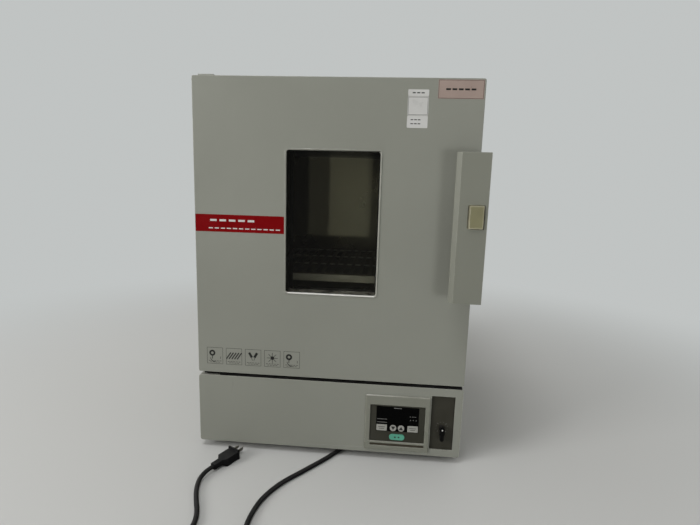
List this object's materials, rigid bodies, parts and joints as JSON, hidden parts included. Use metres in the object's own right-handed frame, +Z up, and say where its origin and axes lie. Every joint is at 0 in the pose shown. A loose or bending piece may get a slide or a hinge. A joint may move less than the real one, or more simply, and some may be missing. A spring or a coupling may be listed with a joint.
{
  "type": "laboratory oven",
  "caption": "Bench-top laboratory drying oven: a cabinet with a hinged, windowed door, a push-button handle, shelves, a fan under its floor, and a control panel under the door.",
  "frame": {"origin": "middle of the oven's base on the surface it stands on, the lead left out", "axes": "+Z up, -Y out of the door, +X towards the handle side"},
  "size_m": [0.591, 1.0866, 0.8072],
  "materials": {
    "enamel": "fine powder coat, cool grey with a trace of green",
    "stainless": "bright brushed stainless sheet",
    "zinc": "zinc plated steel",
    "black_rubber": "black, slightly dull",
    "silicone": "off-white heat-proof silicone",
    "wool": "mineral wool",
    "dark_plate": "dark olive grey, satin",
    "black_gloss": "black, polished",
    "key_grey": "light grey, satin",
    "key_green": "mint green, satin",
    "ivory": "aged ivory, satin",
    "black_plastic": "black, satin",
    "circuit_board": "green solder mask",
    "motor": "dark grey motor enamel",
    "glass": "slightly tinted heat-proof glass"
  },
  "bodies": {
    "cabinet": {"outer_case": "enamel", "front_frame": "enamel", "rear_panel": "enamel", "base_pan": "enamel", "control_panel": "enamel", "control_bezel": "enamel", "inner_chamber": "stainless", "floor_baffle": "stainless", "shelf_rack_left": "stainless", "shelf_rack_right": "stainless", "temperature_probe": "stainless", "heater_coil": "stainless", "exhaust_pipe_left": "stainless", "exhaust_pipe_right": "stainless", "deck_plate": "zinc", "solid_state_relay": "zinc", "hinge_plate_top": "zinc", "hinge_plate_bottom": "zinc", "latch_keeper": "zinc", "motor_bracket": "zinc", "thermostat_body": "zinc", "foot_front_left": "black_rubber", "foot_front_right": "black_rubber", "foot_rear_left": "black_rubber", "foot_rear_right": "black_rubber", "cable_gland": "black_rubber", "power_cord_rear": "black_rubber", "cord_coil": "black_rubber", "power_cord_front": "black_rubber", "insulation_jacket": "wool", "control_face": "dark_plate", "switch_plate": "dark_plate", "display_window": "black_gloss", "power_plug": "black_plastic", "controller_board": "circuit_board", "fan_motor": "motor"},
    "door": {"door_skin": "enamel", "door_liner": "stainless", "door_insulation": "wool", "window_trim": "enamel", "window_spacer": "dark_plate", "outer_glass": "glass", "inner_glass": "glass", "handle_cover": "enamel", "handle_bracket": "zinc", "button_spring": "zinc", "door_gasket": "silicone"},
    "latch_button_body": {"latch_button": "ivory"},
    "latch_arm_body": {"latch_arm": "zinc"},
    "key_left_body": {"key_left": "key_grey"},
    "key_down_body": {"key_down": "key_grey"},
    "key_up_body": {"key_up": "key_grey"},
    "key_right_body": {"key_right": "key_grey"},
    "key_start_body": {"key_start": "key_green"},
    "dial_knob_body": {"dial_knob": "black_plastic"},
    "shelf_lower_body": {"shelf_lower": "stainless"},
    "shelf_upper_body": {"shelf_upper": "stainless"},
    "fan_wheel_body": {"fan_wheel": "stainless"},
    "exhaust_shutter_left_body": {"exhaust_shutter_left": "zinc"},
    "exhaust_shutter_right_body": {"exhaust_shutter_right": "zinc"}
  },
  "joints": [
    {"name": "door_hinge", "type": "hinge", "parent": "cabinet", "child": "door", "pos_m": [-0.2675, -0.2714, 0.492], "axis": [0, 0, -1], "range_deg": [0, 120]},
    {"name": "latch_button_push", "type": "slide", "parent": "door", "child": "latch_button_body", "axis": [0, 1, 0], "range_m": [0, 0.003], "stiffness_N_per_m": 900, "springref_m": -0.001, "deforming": ["button_spring"]},
    {"name": "latch_arm_turn", "type": "hinge", "parent": "door", "child": "latch_arm_body", "pos_m": [0.288, -0.2954, 0.5195], "axis": [0, 0, -1], "range_deg": [0, 9.83]},
    {"name": "key_left_press", "type": "slide", "parent": "cabinet", "child": "key_left_body", "axis": [0, 1, 0], "range_m": [0, 0.0008], "stiffness_N_per_m": 1000, "springref_m": -0.0002},
    {"name": "key_down_press", "type": "slide", "parent": "cabinet", "child": "key_down_body", "axis": [0, 1, 0], "range_m": [0, 0.0008], "stiffness_N_per_m": 1000, "springref_m": -0.0002},
    {"name": "key_up_press", "type": "slide", "parent": "cabinet", "child": "key_up_body", "axis": [0, 1, 0], "range_m": [0, 0.0008], "stiffness_N_per_m": 1000, "springref_m": -0.0002},
    {"name": "key_right_press", "type": "slide", "parent": "cabinet", "child": "key_right_body", "axis": [0, 1, 0], "range_m": [0, 0.0008], "stiffness_N_per_m": 1000, "springref_m": -0.0002},
    {"name": "key_start_press", "type": "slide", "parent": "cabinet", "child": "key_start_body", "axis": [0, 1, 0], "range_m": [0, 0.0008], "stiffness_N_per_m": 1000, "springref_m": -0.0002},
    {"name": "dial_turn", "type": "hinge", "parent": "cabinet", "child": "dial_knob_body", "pos_m": [0.2438, -0.2834, 0.0822], "axis": [0, 1, 0], "range_deg": [0, 270]},
    {"name": "shelf_lower_slide", "type": "slide", "parent": "cabinet", "child": "shelf_lower_body", "axis": [0, -1, 0], "range_m": [0, 0.018]},
    {"name": "shelf_upper_slide", "type": "slide", "parent": "cabinet", "child": "shelf_upper_body", "axis": [0, -1, 0], "range_m": [0, 0.018]},
    {"name": "fan_spin", "type": "hinge", "parent": "cabinet", "child": "fan_wheel_body", "pos_m": [-0.0055, 0.0004, 0.26], "axis": [0, 0, 1], "continuous": true},
    {"name": "exhaust_left_turn", "type": "hinge", "parent": "cabinet", "child": "exhaust_shutter_left_body", "pos_m": [-0.1255, 0.3266, 0.69], "axis": [0, 1, 0], "range_deg": [0, 180]},
    {"name": "exhaust_right_turn", "type": "hinge", "parent": "cabinet", "child": "exhaust_shutter_right_body", "pos_m": [0.1145, 0.3266, 0.69], "axis": [0, 1, 0], "range_deg": [0, 180]}
  ],
  "couplings": [
    {"joint": "latch_arm_turn", "follows": "latch_button_push", "rad_per_m": 57.14}
  ]
}
